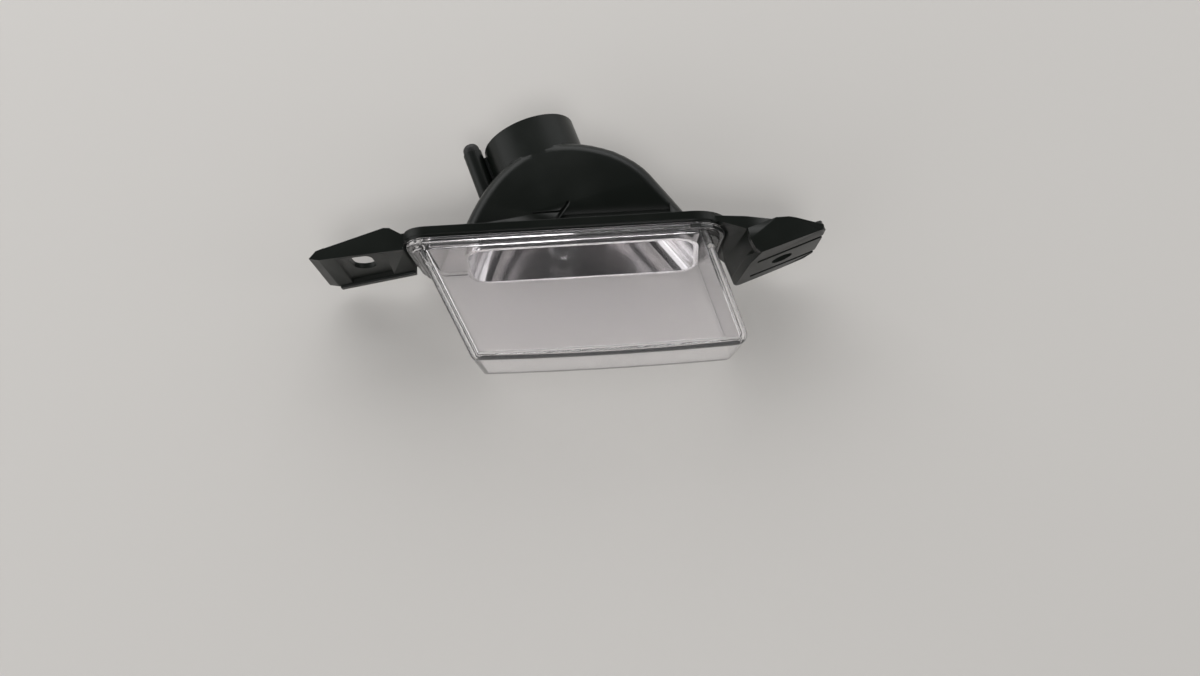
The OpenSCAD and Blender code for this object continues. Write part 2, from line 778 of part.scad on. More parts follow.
// The two lead wires, folded back over the flat base
module bulb_leads() {
    bend = wedge_end + lead_r;
    face = wedge_half_t + lead_r;
    color([0.7, 0.7, 0.72]) for (m = [-1, 1]) {
        rod(filament_y + coil_r, bend, lead_r, m * lead_x, 0);
        rod(nose_front + 3, bend, lead_r, m * lead_x, m * face);
        translate([m * lead_x, bend, m > 0 ? 0 : -face]) cylinder(h = face, r = lead_r);
        translate([m * lead_x, bend, 0]) sphere(lead_r);
        translate([m * lead_x, bend, m * face]) sphere(lead_r);
    }
}

// The coiled filament between the lead wires
module filament() {
    color([0.45, 0.45, 0.47])
        translate([-lead_x - lead_r, filament_y, 0])
        rotate([0, 90, 0])
        cylinder(h = 2 * (lead_x + lead_r), r = coil_r);
}

housing();
lens();
lens_sealant();
reflector();
vent_plug();
bulb_holder();
holder_seal();
live_contact();
earth_contact();
bulb_glass();
bulb_leads();
filament();
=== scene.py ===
# %% [markdown]
# # A reversing light, dressed in Blender
#
# The lamp sits behind a rear bumper: a black moulded housing with a domed back, a collar for the
# bulb holder and an ear at each side, and a deep clear lens that comes through the bumper.
# The solids come ready from the CAD model. This lesson gives them their looks. The lens, the
# reflector, the bulb, its coil and the vent plug are made again, because their looks need a
# smoother shape. The housing keeps its shape, and a copy of it gets smooth shading.

# %% Load the frame
from math import cos, pi, radians, sin, tan

import bmesh
import bpy
from mathutils import Matrix, Vector


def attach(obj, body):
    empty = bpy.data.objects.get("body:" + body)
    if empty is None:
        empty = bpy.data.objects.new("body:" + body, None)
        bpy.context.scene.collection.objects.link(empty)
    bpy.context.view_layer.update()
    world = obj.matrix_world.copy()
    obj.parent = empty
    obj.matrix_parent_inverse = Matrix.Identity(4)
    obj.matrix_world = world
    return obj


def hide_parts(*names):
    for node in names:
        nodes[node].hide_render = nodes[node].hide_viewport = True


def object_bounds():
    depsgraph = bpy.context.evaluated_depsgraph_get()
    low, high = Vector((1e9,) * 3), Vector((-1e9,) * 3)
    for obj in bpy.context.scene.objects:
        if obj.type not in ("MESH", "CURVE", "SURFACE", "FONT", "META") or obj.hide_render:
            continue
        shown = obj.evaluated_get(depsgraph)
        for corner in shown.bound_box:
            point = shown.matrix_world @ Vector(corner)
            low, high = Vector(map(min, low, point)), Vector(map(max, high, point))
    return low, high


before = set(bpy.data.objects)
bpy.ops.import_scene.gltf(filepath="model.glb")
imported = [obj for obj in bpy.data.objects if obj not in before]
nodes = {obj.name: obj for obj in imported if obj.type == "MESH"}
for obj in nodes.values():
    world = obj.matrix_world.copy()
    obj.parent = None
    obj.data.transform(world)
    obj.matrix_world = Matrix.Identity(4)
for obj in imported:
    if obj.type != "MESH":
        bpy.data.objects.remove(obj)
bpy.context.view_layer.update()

MM = 0.001
QUARTER = radians(90)
scene = bpy.context.scene
print("pieces from the CAD model:", len(nodes))

# %% [markdown]
# ## The frame of the lamp
#
# The bulb axis is the Y axis, and the light leaves towards -Y. The rim and the front of the lens
# are swept back by 17.5 degrees, so they are made straight, in a frame of their own, and turned
# into place at the end. In that frame x runs along the rim, y runs to the rear, z is up, and all
# sizes are in millimetres.

# %% The sweep of the rim
SWEEP = radians(17.5)
TO_RIM = Matrix.Rotation(SWEEP, 4, "Z")
TO_LAMP = Matrix.Rotation(-SWEEP, 4, "Z") @ Matrix.Scale(MM, 4)
print("sweep in degrees:", round(SWEEP * 180 / pi, 1))

# %% [markdown]
# ## Helpers for shapes
#
# Each piece is shaped in a bmesh, which is Blender's mesh as a program edits it. Some steps, such
# as joining two blocks, need a modifier and so an object, and these helpers go from one to the
# other. A finished bmesh becomes an object at the origin, unturned and unscaled, that rides on the
# lamp's one body and gets its finish as a material.

# %% Between a bmesh and an object
WELD = 0.002  # points nearer than this, in mm, are one point


def as_object(bm, name):
    mesh = bpy.data.meshes.new(name)
    bm.to_mesh(mesh)
    bm.free()
    made = bpy.data.objects.new(name, mesh)
    scene.collection.objects.link(made)
    return made


def as_bmesh(made):
    """The object's mesh as a bmesh. The object itself goes."""
    bm = bmesh.new()
    bm.from_mesh(made.data)
    bpy.data.objects.remove(made)
    return bm


def apply_modifiers(made):
    graph = bpy.context.evaluated_depsgraph_get()
    made.data = bpy.data.meshes.new_from_object(made.evaluated_get(graph))
    made.modifiers.clear()


# %% From a bmesh to a finished piece
def finish_piece(name, bm, material, smooth_below, replaces):
    """Faces that meet at less than smooth_below degrees are shaded as one curved surface."""
    piece = as_object(bm, name)
    for face in piece.data.polygons:
        face.use_smooth = True
    piece.data.set_sharp_from_angle(angle=radians(smooth_below))
    piece.data.materials.append(material)
    weights = piece.modifiers.new("even shading", "WEIGHTED_NORMAL")
    weights.keep_sharp = True
    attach(piece, "root")
    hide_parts(*replaces)
    print(name, "faces:", len(piece.data.polygons))
    return piece


# %% [markdown]
# ## Helpers for materials
#
# A pattern is a sum of noises and masks. Written with plain operators it stays readable: the
# small class below wraps a socket, and each operator on it adds the Math node that it names.
# Every other node comes from one method, which takes its settings first and its sockets next.

# %% A socket with operators
class Val:
    def __init__(self, tree, socket):
        self.tree = tree
        self.socket = socket

    def math(self, operation, other=None, swap=False, clamp=False):
        node = self.tree.nodes.new("ShaderNodeMath")
        node.operation = operation
        node.use_clamp = clamp
        values = [self, other][:: -1 if swap else 1]
        for slot, value in zip(node.inputs, values):
            if isinstance(value, Val):
                self.tree.links.new(value.socket, slot)
            elif value is not None:
                slot.default_value = value
        return Val(self.tree, node.outputs[0])

    def __add__(self, other):
        return self.math("ADD", other)

    def __sub__(self, other):
        return self.math("SUBTRACT", other)

    def __mul__(self, other):
        return self.math("MULTIPLY", other)

    def __rsub__(self, other):
        return self.math("SUBTRACT", other, swap=True)

    __radd__ = __add__
    __rmul__ = __mul__

    def clamp(self):
        return self.math("ADD", 0.0, clamp=True)

    def ramp(self, low, high):
        """0 up to low, 1 from high on, and even between them."""
        return (self - low).math("DIVIDE", high - low, clamp=True)


# %% A node tree and its one node-making method
class Pattern:
    def __init__(self, tree):
        self.tree = tree

    def node(self, kind, settings=None, sockets=None, out=0):
        made = self.tree.nodes.new("ShaderNode" + kind)
        for key, value in (settings or {}).items():
            setattr(made, key, value)
        for key, value in (sockets or {}).items():
            if isinstance(value, Val):
                self.tree.links.new(value.socket, made.inputs[key])
            else:
                made.inputs[key].default_value = value
        return Val(self.tree, made.outputs[out])

    def mix(self, mask, one, two):
        return self.node("Mix", {"data_type": "RGBA"}, {0: mask, 6: one, 7: two}, out=2)


# %% A material
class Finish(Pattern):
    def __init__(self, name, **sockets):
        self.material = bpy.data.materials.new(name)
        self.material.use_nodes = True
        super().__init__(self.material.node_tree)
        self.shader = self.tree.nodes["Principled BSDF"]
        self.set(**sockets)

    def set(self, **sockets):
        for key, value in sockets.items():
            slot = self.shader.inputs[key.replace("_", " ")]
            if isinstance(value, Val):
                self.tree.links.new(value.socket, slot)
            else:
                slot.default_value = value

    def noise(self, scale, detail, rough):
        place = self.node("TexCoord", out="Object")
        return self.node("TexNoise", {}, {"Vector": place, "Scale": scale, "Detail": detail,
                                          "Roughness": rough})

    def bump(self, height, distance, strength, normal=None):
        sockets = {"Height": height, "Distance": distance * MM, "Strength": strength}
        if normal is not None:
            sockets["Normal"] = normal
        return self.node("Bump", {}, sockets)


def rgb(r, g, b):
    return (r, g, b, 1.0)


# %% [markdown]
# ## Black housing plastic
#
# The housing is moulded in black polypropylene with a fine spark-eroded grain. The grain is a
# small bump, and the gloss changes a little from place to place, because the mould is polished
# less where the melt flows in. A thin grey film of dust dulls it in patches. Moulded edges are
# never sharp. They could be bevelled one by one, but the Bevel node rounds them all by a third of
# a millimetre in the shading and leaves the solid as it is.

# %% Housing plastic
def housing_plastic(name, base, edge_r):
    finish = Finish(name, Specular_IOR_Level=0.22)
    cloud = finish.noise(scale=38, detail=4.0, rough=0.6)
    fine = finish.noise(scale=2600, detail=2.0, rough=0.6)
    wiped = finish.noise(scale=11, detail=3.0, rough=0.55).ramp(0.42, 0.75)
    dust = (wiped * 0.35 + cloud.ramp(0.45, 0.8) * 0.3).clamp()
    dusty = rgb(*(c * 1.8 + 0.004 for c in base))
    rounded_edge = finish.node("Bevel", {"samples": 6}, {"Radius": edge_r * MM})
    finish.set(Base_Color=finish.mix(dust, rgb(*base), dusty),
               Roughness=0.27 + cloud * 0.1 + dust * 0.14,
               Normal=finish.bump(fine, 0.04, 0.55, rounded_edge))
    return finish.material


black = housing_plastic("housing plastic", (0.0042, 0.0056, 0.0044), 0.35)
plug_black = housing_plastic("vent plug plastic", (0.018, 0.018, 0.018), 0.2)
holder_black = housing_plastic("bulb holder plastic", (0.022, 0.022, 0.024), 0.25)
print("plastics:", black.name, plug_black.name, holder_black.name)

# %% [markdown]
# ## Clear lens plastic
#
# The lens is injection-moulded acrylic, nearly as clear as glass, with an index of 1.49. Its faint
# haze of scuffs shows only in the highlights. A small part of the light is scattered instead of
# let through, as on all used plastic, and the tint is that of thick plastic seen edge on. A mix
# with a transparent shader would be simpler, but only refraction draws the bright lines in the
# edges.

# %% Lens plastic
def lens_plastic():
    finish = Finish("clear lens plastic", IOR=1.49, Transmission_Weight=0.985,
                    Base_Color=rgb(0.948, 0.938, 0.948))
    scuffs = finish.noise(scale=520, detail=3.0, rough=0.7).ramp(0.62, 0.8)
    haze = finish.noise(scale=26, detail=3.0, rough=0.5).ramp(0.45, 0.8)
    finish.set(Roughness=0.004 + haze * 0.012 + scuffs * 0.02)
    return finish.material


clear = lens_plastic()
print("lens material:", clear.name)

# %% [markdown]
# ## Metallised reflector, rubber, brass, glass and wire
#
# The reflector is plastic with a vacuum-coated film of aluminium, so it is a mirror with a slight
# haze. The other finishes are plain ones of the trade: drawn or stamped metals differ only in
# colour, in roughness and in how fine the grain is, so one function makes them all.

# %% Reflector film
def mirror_film():
    finish = Finish("metallised film", Metallic=1.0)
    haze = finish.noise(scale=60, detail=3.0, rough=0.5)
    finish.set(Base_Color=finish.mix(haze, rgb(0.80, 0.76, 0.755), rgb(0.68, 0.69, 0.70)),
               Roughness=0.09 + haze * 0.1)
    return finish.material


film = mirror_film()
print("reflector material:", film.name)


# %% Rubber and metals
def rubber(name, base):
    finish = Finish(name, Base_Color=rgb(*base))
    grain = finish.noise(scale=900, detail=3.0, rough=0.6)
    finish.set(Roughness=0.62 + grain * 0.2, Normal=finish.bump(grain, 0.05, 0.4))
    return finish.material


def metal(name, base, roughness, grain_scale):
    low, high = roughness
    finish = Finish(name, Metallic=1.0, Base_Color=rgb(*base))
    drawn = finish.noise(scale=grain_scale, detail=3.0, rough=0.6)
    finish.set(Roughness=low + drawn * (high - low))
    return finish.material


seal_rubber = rubber("seal rubber", (0.10, 0.035, 0.028))
bead = rubber("sealant bead", (0.02, 0.02, 0.02))
brass = metal("contact brass", (0.78, 0.60, 0.30), (0.22, 0.42), 700)
wire = metal("lead wire steel", (0.62, 0.61, 0.60), (0.18, 0.34), 900)
coil_metal = metal("tungsten coil", (0.42, 0.41, 0.40), (0.30, 0.45), 900)
print("rubbers:", seal_rubber.name, bead.name)
print("metals:", brass.name, wire.name, coil_metal.name)


# %% Bulb glass
def bulb_finish():
    finish = Finish("bulb glass", IOR=1.5, Transmission_Weight=1.0,
                    Base_Color=rgb(0.985, 0.985, 0.98))
    smoke = finish.noise(scale=90, detail=2.0, rough=0.5).ramp(0.5, 0.9)
    finish.set(Roughness=0.005 + smoke * 0.02)
    return finish.material


glass = bulb_finish()
print("bulb material:", glass.name)

# %% [markdown]
# ## The pieces that keep their CAD shape
#
# The bulb holder, its seal, the contacts, the lead wires and the sealant have flat faces and small
# parts that the CAD model already gives well. They only get their finish.

# %% Finishes for the CAD solids
cad_finishes = {
    "bulb_holder": holder_black,
    "holder_seal": seal_rubber,
    "live_contact": brass,
    "earth_contact": brass,
    "bulb_leads": wire,
    "lens_sealant": bead,
}
for name, material in cad_finishes.items():
    nodes[name].data.materials.clear()
    nodes[name].data.materials.append(material)
print("CAD solids dressed:", len(cad_finishes))

# %% [markdown]
# ## The housing
#
# Its solid is made of many small flat faces where it curves. A copy with its doubles merged can be
# shaded smooth across those faces while the real edges stay crisp. Where a tube meets the dome the
# faces are long and uneven, and averaged normals would show as creases. There the normals come
# from the true surface: the parabola of the dome, or the cylinder of the collar or the vent tube.

# %% A smooth copy of a CAD solid
def smooth_copy(node, name, material, smooth_below, flat_below=0.4):
    bm = bmesh.new()
    bm.from_mesh(nodes[node].data)
    bmesh.ops.remove_doubles(bm, verts=bm.verts, dist=WELD * MM)
    bmesh.ops.dissolve_limit(bm, angle_limit=radians(flat_below), verts=bm.verts, edges=bm.edges)
    bmesh.ops.triangulate(bm, faces=[f for f in bm.faces if len(f.verts) > 4])
    return finish_piece(name, bm, material, smooth_below, replaces=(node,))


housing = smooth_copy("housing", "housing_shell", black, 24)
apply_modifiers(housing)

# %% The true surfaces of the housing
APEX_Y, FOCUS = 37.8, 15.3
CURVE_RANGE = (-46.0, 26.0)
VENT_X, VENT_Z = -22.1, 2.0
# each cylinder's centre in x and z and its radius: the collar, its bore and the vent tube
CYLINDERS = ((0.0, 0.0, 17.8), (0.0, 0.0, 15.4), (VENT_X, VENT_Z, 3.5))
# how near a point lies to a surface that it is on, and how well the normals must agree
NEAR_CURVE, NEAR_CYLINDER = 0.12, 0.06
LEAST_COSINE = cos(radians(9))


def dome_y(x):
    """The parabola of the dome, seen from above."""
    return APEX_Y - x * x / (4 * FOCUS)


def true_normal(point, face_normal):
    """The normal of the curved surface that the point lies on, or None."""
    x, y, z = point / MM
    found = []
    if CURVE_RANGE[0] < x < CURVE_RANGE[1] and abs(y - dome_y(x)) < NEAR_CURVE:
        found.append(Vector((x / (2 * FOCUS), 1.0, 0.0)).normalized())
    for centre_x, centre_z, r in CYLINDERS:
        away = Vector((x - centre_x, 0.0, z - centre_z))
        if abs(away.length - r) < NEAR_CYLINDER:
            found += [away.normalized(), -away.normalized()]
    close = [n for n in found if n.dot(face_normal) > LEAST_COSINE]
    return close[0] if close else None


# %% The true normals
def shade_true(piece):
    mesh = piece.data
    normals = [Vector(n.vector) for n in mesh.corner_normals]
    changed = 0
    for face in mesh.polygons:
        for corner in face.loop_indices:
            point = mesh.vertices[mesh.loops[corner].vertex_index].co
            normal = true_normal(point, face.normal)
            if normal is not None:
                normals[corner] = normal
                changed += 1
    mesh.normals_split_custom_set(normals)
    print(piece.name, "corners with the true normal:", changed, "of", len(normals))


shade_true(housing)

# %% [markdown]
# ## The lens
#
# The lens is a deep open box. Seen from above, its front is a shallow curve and its walls follow
# the way it is pulled from the mould. A bevelled cube can't follow walls that lean by different
# angles, so it is made as a stack of level outlines: each outline is drawn with rounded corners,
# the stack is bridged from bottom to top, and the top and bottom edges are rounded by drawing the
# last outlines a little smaller. A plane cuts the block off behind the flange. The same stack,
# drawn smaller by the wall, is the hollow, and a boolean takes it out.

# %% The lens's sizes
FLANGE_T = 2.0
LENS_DEPTH = 42.5
LENS_WALL = 2.6
LENS_TOP, LENS_BOTTOM = 19.0, -19.6
ROOT_LEFT, ROOT_RIGHT = 55.2, 48.4
DRAFT_LEFT, DRAFT_RIGHT = radians(6.4), radians(-2.9)
LEAN_RIGHT, LEAN_FRONT = radians(2), radians(2.5)
FRONT_R = 1200.0
BOW_POWER = 6
BEHIND = -12.0  # the block starts this far behind the rim, and is cut off later
LEAST_CORNER = 0.3  # no corner is drawn sharper than this radius
ON_CUT = 0.0001  # a point nearer to the cutting plane than this lies on it
print("lens depth and wall:", LENS_DEPTH, LENS_WALL)


# %% One level outline of the lens
def lens_corners(z):
    drop = LENS_TOP - z
    front = LENS_DEPTH - drop * tan(LEAN_FRONT)
    lean = drop * tan(LEAN_RIGHT)

    def left(s):
        return -ROOT_LEFT + s * tan(SWEEP + DRAFT_LEFT)

    def right(s):
        return ROOT_RIGHT + s * tan(SWEEP + DRAFT_RIGHT) + lean

    return [(left(BEHIND), -BEHIND), (left(front), -front),
            (right(front), -front), (right(BEHIND), -BEHIND)]


def inset_corners(corners, inset):
    """The outline's corners moved inwards by the same distance from every side."""
    moved = []
    count = len(corners)
    for i in range(count):
        a, b, c = (Vector(corners[(i + k) % count]) for k in (-1, 0, 1))
        into_a = (a - b).normalized()
        into_c = (c - b).normalized()
        half = into_a.angle(into_c) / 2
        moved.append(b + (into_a + into_c).normalized() * inset / sin(half))
    return moved


# %% Rounded corners and a bowed front
def rounded(corners, radii, steps, front_steps):
    """The side between corners 1 and 2, the front, gets extra points, so that it can be bowed."""
    arcs = []
    for i, b in enumerate(corners):
        a, c = corners[i - 1], corners[(i + 1) % len(corners)]
        into_a, into_c = (a - b).normalized(), (c - b).normalized()
        half = into_a.angle(into_c) / 2
        reach = radii[i] / tan(half)
        start, end = b + into_a * reach, b + into_c * reach
        middle = b + (into_a + into_c).normalized() * radii[i] / sin(half)
        arc = []
        for k in range(steps + 1):
            spread = (start - middle).lerp(end - middle, k / steps).normalized()
            arc.append(middle + spread * radii[i])
        arcs.append(arc)
    a, b = arcs[1][-1], arcs[2][0]
    front = [a.lerp(b, k / front_steps) for k in range(1, front_steps)]
    return arcs[0] + arcs[1] + front + arcs[2] + arcs[3]


def bow(point, middle):
    """The front is an arc of a large circle, so its ends lie further back."""
    share = max(0.0, min(1.0, -point.y / LENS_DEPTH))
    back = share ** BOW_POWER * (point.x - middle) ** 2 / (2 * FRONT_R)
    return Vector((point.x, point.y + back))


# %% A block with rounded edges, as a stack of outlines
def round_levels(low, top, inset, low_r, top_r, steps):
    """Heights and insets of the outlines, from the bottom to the top."""
    levels = []
    for k in range(steps + 1):
        a = QUARTER * k / steps
        levels.append((low + low_r - low_r * cos(a), inset + low_r - low_r * sin(a)))
    levels.append(((low + top) / 2, inset))
    for k in range(steps, -1, -1):
        a = QUARTER * k / steps
        levels.append((top - top_r + top_r * cos(a), inset + top_r - top_r * sin(a)))
    return levels


def stacked(outlines):
    """A closed block from outlines, each a height with its points."""
    bm = bmesh.new()
    rings = [[bm.verts.new((p.x, p.y, z)) for p in points] for z, points in outlines]
    for lower, upper in zip(rings, rings[1:]):
        edges = []
        for ring in (lower, upper):
            for a, b in zip(ring, ring[1:] + ring[:1]):
                edges.append(bm.edges.get((a, b)) or bm.edges.new((a, b)))
        bmesh.ops.bridge_loops(bm, edges=edges)
    bm.faces.new(rings[0])
    bm.faces.new(rings[-1])
    bmesh.ops.recalc_face_normals(bm, faces=bm.faces)
    return bm


# %% The lens's outer block and its hollow
def lens_block(inset, top_r, low_r, corner_radii, steps=6, front_steps=14):
    outlines = []
    low, top = LENS_BOTTOM + inset, LENS_TOP - inset
    for z, level_inset in round_levels(low, top, inset, low_r, top_r, steps):
        corners = inset_corners(lens_corners(z), level_inset)
        radii = [max(LEAST_CORNER, r - (level_inset - inset)) for r in corner_radii]
        middle = (corners[1].x + corners[2].x) / 2
        outline = rounded(corners, radii, steps, front_steps)
        outlines.append((z, [bow(p, middle) for p in outline]))
    return stacked(outlines)


def cut_off(bm, point, direction):
    """Takes away what lies beyond the plane and closes the cut."""
    bmesh.ops.bisect_plane(bm, geom=bm.verts[:] + bm.edges[:] + bm.faces[:], dist=ON_CUT,
                           plane_co=point, plane_no=direction, clear_outer=True)
    bmesh.ops.holes_fill(bm, edges=[e for e in bm.edges if e.is_boundary])
    bmesh.ops.recalc_face_normals(bm, faces=bm.faces)
    return bm


outer = lens_block(0.0, top_r=2.8, low_r=1.6, corner_radii=(2.4, 2.2, 4.0, 2.4))
body = as_object(cut_off(outer, (0, FLANGE_T, 0), (0, 1, 0)), "lens_body")
hollow = lens_block(LENS_WALL, top_r=1.0, low_r=1.0, corner_radii=(0.8, 0.8, 1.2, 0.8))
hollow = as_object(hollow, "hollow")
print("lens block and hollow, faces:", len(body.data.polygons), len(hollow.data.polygons))

# %% [markdown]
# The flange is a stepped plate round the root of the lens, and its bright lines in the
# photograph are the rounded edges of the steps. Each step is a plate with the rim's outline,
# drawn smaller, and its front edge is bevelled. A tongue behind it sits in the rim's groove.

# %% A plate with the rim's outline
RIM_LEFT, RIM_RIGHT, RIM_HALF = 60.0, 56.0, 22.5
RIM_LEFT_R, RIM_RIGHT_R = 9.0, 14.0
ON_FRONT = 1e-5


def plate(outline, y_from, y_to):
    """An outline in x and z, extruded along y."""
    bm = bmesh.new()
    face = bm.faces.new([bm.verts.new((p.x, y_from, p.y)) for p in outline])
    raised = bmesh.ops.extrude_face_region(bm, geom=[face])
    moved = [v for v in raised["geom"] if isinstance(v, bmesh.types.BMVert)]
    bmesh.ops.translate(bm, verts=moved, vec=(0, y_to - y_from, 0))
    bmesh.ops.recalc_face_normals(bm, faces=bm.faces)
    return bm


def round_edges(bm, edges, radius, segments):
    bmesh.ops.bevel(bm, geom=edges, offset=radius, affect="EDGES", segments=segments,
                    profile=0.5, material=-1, clamp_overlap=True)


def rim_plate(inset, back, front, edge_r=0.0):
    """Back and front are distances out of the rim's plane, towards the light."""
    corners = [Vector(p) for p in ((-RIM_LEFT, -RIM_HALF), (RIM_RIGHT, -RIM_HALF),
                                   (RIM_RIGHT, RIM_HALF), (-RIM_LEFT, RIM_HALF))]
    radii = [r - inset for r in (RIM_LEFT_R, RIM_RIGHT_R, RIM_RIGHT_R, RIM_LEFT_R)]
    outline = rounded(inset_corners(corners, inset), radii, steps=14, front_steps=2)
    bm = plate(outline, -back, -front)
    if edge_r:
        edges = [e for e in bm.edges if all(abs(v.co.y + front) < ON_FRONT for v in e.verts)]
        round_edges(bm, edges, edge_r, segments=4)
    return bm


# %% Joining the lens's parts
FLANGE_IN, FLANGE_EDGE = 0.9, 0.6
STEP_IN, STEP_ROOT, STEP_H, STEP_EDGE = 2.8, -0.5, 1.6, 0.7
TONGUE_OUTER, TONGUE_INNER = 1.6, 3.2  # insets of its two sides from the rim's edge
TONGUE_END, TONGUE_ROOT = -4.0, -1.0
PAST = 1.0  # a cutter reaches this far past what it cuts


def join(base, other, operation):
    step = base.modifiers.new("join", "BOOLEAN")
    step.operation = operation
    step.solver = "EXACT"
    step.object = other
    apply_modifiers(base)
    bpy.data.objects.remove(other)


for part, name in (
    (rim_plate(FLANGE_IN, -FLANGE_T, 0.0, FLANGE_EDGE), "flange"),
    (rim_plate(STEP_IN, STEP_ROOT, STEP_H, STEP_EDGE), "step"),
    (rim_plate(TONGUE_OUTER, TONGUE_END, TONGUE_ROOT), "tongue"),
):
    join(body, as_object(part, name), "UNION")
inside = rim_plate(TONGUE_INNER, TONGUE_END - PAST, -FLANGE_T)
join(body, as_object(inside, "inside"), "DIFFERENCE")
join(body, hollow, "DIFFERENCE")

lens_mesh = as_bmesh(body)
bmesh.ops.remove_doubles(lens_mesh, verts=lens_mesh.verts, dist=WELD)
bmesh.ops.transform(lens_mesh, matrix=TO_LAMP, verts=lens_mesh.verts)
lens = finish_piece("lens_shell", lens_mesh, clear, 30, replaces=("lens",))
lens.visible_shadow = False  # light goes through clear plastic

# %% [markdown]
# ## The reflector
#
# The reflector is a bowl with well rounded edges, because a film of aluminium shows every corner
# as a hard line. Seen from above it follows the dome: a parabola that runs into a straight flank.
# It is a stack of outlines as the lens is, so that all its edges are round without a bevel. Its
# mouth is cut a little aslant, so that the lower lip stands further forward, and a thin plate
# closes the gap round the mouth.

# %% The reflector's sizes
CURVE_LEFT, BOWL_FRONT = 46.0, -26.0
FIRST_STEP = 6.0  # a long first side, so that the corner holds when the outline is drawn smaller
FLANK_X, FLANK_LEAN, FLANK_BEND = 33.0, radians(18.5), 7.0
BOWL_INSET, BOWL_HALF, BOWL_WALL, BOWL_EDGE = 2.5, 15.5, 1.5, 8.0
LIP_TOP, LIP_LOW, LIP_EDGE = 1.8, 5.2, 0.35  # the lips stand this far out of the rim's plane
PLATE_LEFT, PLATE_RIGHT, PLATE_LOW, PLATE_TOP = -51.6, 45.4, -16.5, 15.9
PLATE_BACK, PLATE_FRONT, PLATE_R = 1.5, 0.3, 2.5  # in y, behind the rim's plane
BULB_HOLE = 10.5
print("reflector height and wall:", 2 * BOWL_HALF, BOWL_WALL)


# %% The bowl
def dome_outline(steps=34, bend_steps=8):
    def curve(x):
        return Vector((x, dome_y(x)))

    start, near = FLANK_X - FLANK_BEND, -CURVE_LEFT + FIRST_STEP
    corner = curve(FLANK_X)
    flank = Vector((sin(FLANK_LEAN), -cos(FLANK_LEAN)))
    first, last = curve(start), corner + flank * FLANK_BEND
    points = [curve(-CURVE_LEFT)]
    points += [curve(near + (start - near) * k / steps) for k in range(steps)]
    for k in range(bend_steps + 1):
        share = k / bend_steps
        points.append(first.lerp(corner, share).lerp(corner.lerp(last, share), share))
    points.append(corner + flank * (corner.y - BOWL_FRONT) / cos(FLANK_LEAN))
    points.append(Vector((-CURVE_LEFT, BOWL_FRONT)))
    return points


def bowl_block(inset, edge, steps=10):
    half = BOWL_HALF - inset
    levels = round_levels(-half, half, BOWL_INSET + inset, edge, edge, steps)
    bm = stacked([(z, inset_corners(dome_outline(), level_inset)) for z, level_inset in levels])
    bmesh.ops.transform(bm, matrix=TO_RIM, verts=bm.verts)
    return bm


mouth_middle = Vector((0, -(LIP_TOP + LIP_LOW) / 2, 0))
mouth = Vector((0, -1, 0)) + Vector((0, 0, 1)) * (LIP_LOW - LIP_TOP) / (2 * BOWL_HALF)
bowl = as_object(cut_off(bowl_block(0.0, BOWL_EDGE), mouth_middle, mouth), "bowl")
print("bowl, faces:", len(bowl.data.polygons))

# %% The plate round the mouth and the hollow
plate_corners = [Vector(p) for p in ((PLATE_LEFT, PLATE_LOW), (PLATE_RIGHT, PLATE_LOW),
                                     (PLATE_RIGHT, PLATE_TOP), (PLATE_LEFT, PLATE_TOP))]
outline = rounded(plate_corners, [PLATE_R] * 4, steps=6, front_steps=2)
mouth_plate = plate(outline, PLATE_BACK, PLATE_FRONT)
join(bowl, as_object(mouth_plate, "mouth_plate"), "UNION")
bowl_hollow = bowl_block(BOWL_WALL, BOWL_EDGE - BOWL_WALL)
join(bowl, as_object(bowl_hollow, "bowl_hollow"), "DIFFERENCE")
print("bowl with its plate and hollow, faces:", len(bowl.data.polygons))

# %% The hole for the bulb and the rounded lip
HOLE_DEPTH = 20.0
ON_MOUTH = 0.01
hole = bmesh.new()
bmesh.ops.create_cone(hole, cap_ends=True, segments=64, radius1=BULB_HOLE, radius2=BULB_HOLE,
                      depth=HOLE_DEPTH)
along_y = Matrix.Translation((0, APEX_Y, 0)) @ Matrix.Rotation(QUARTER, 4, "X")
bmesh.ops.transform(hole, matrix=TO_RIM @ along_y, verts=hole.verts)
join(bowl, as_object(hole, "bulb_hole"), "DIFFERENCE")

bowl_mesh = as_bmesh(bowl)
bmesh.ops.remove_doubles(bowl_mesh, verts=bowl_mesh.verts, dist=WELD)
lip = [e for e in bowl_mesh.edges
       if all(abs((v.co - mouth_middle).dot(mouth.normalized())) < ON_MOUTH for v in e.verts)]
round_edges(bowl_mesh, lip, LIP_EDGE, segments=3)
print("edges rounded at the reflector's lip:", len(lip))
bmesh.ops.transform(bowl_mesh, matrix=TO_LAMP, verts=bowl_mesh.verts)
finish_piece("reflector_shell", bowl_mesh, film, 32, replaces=("reflector",))

# %% [markdown]
# ## The bulb
#
# A capless bulb is a tube of glass, blown round at the tip and pressed flat at the base. Half of
# its profile is spun round the bulb axis, and the flat base is a bevelled block. The inside of
# the glass is a second, smaller spin, so that light bends in a thin wall as in the real bulb.

# %% Bulb sizes
NOSE = 35.0  # front of the bulb holder, where the glass ends
BULB_R, BULB_LEN, GLASS_T, NECK_R = 7.8, 27.5, 0.7, 5.4
SHOULDER = (5.0, 3.4, 1.6)  # the shoulder's three points lie this far in front of the nose
TAPER = 0.3  # the glass narrows by this before each bend
PINCH, PINCH_R = 3.0, 3.4  # the inside closes this far in front of the nose, at this radius
# the flat base: its size, how far its middle lies behind the nose, and its edge radius
FLAT_SIZE, FLAT_BEHIND, FLAT_EDGE = (12.0, 10.0, 4.4), 4.0, 0.7
print("bulb length:", BULB_LEN)


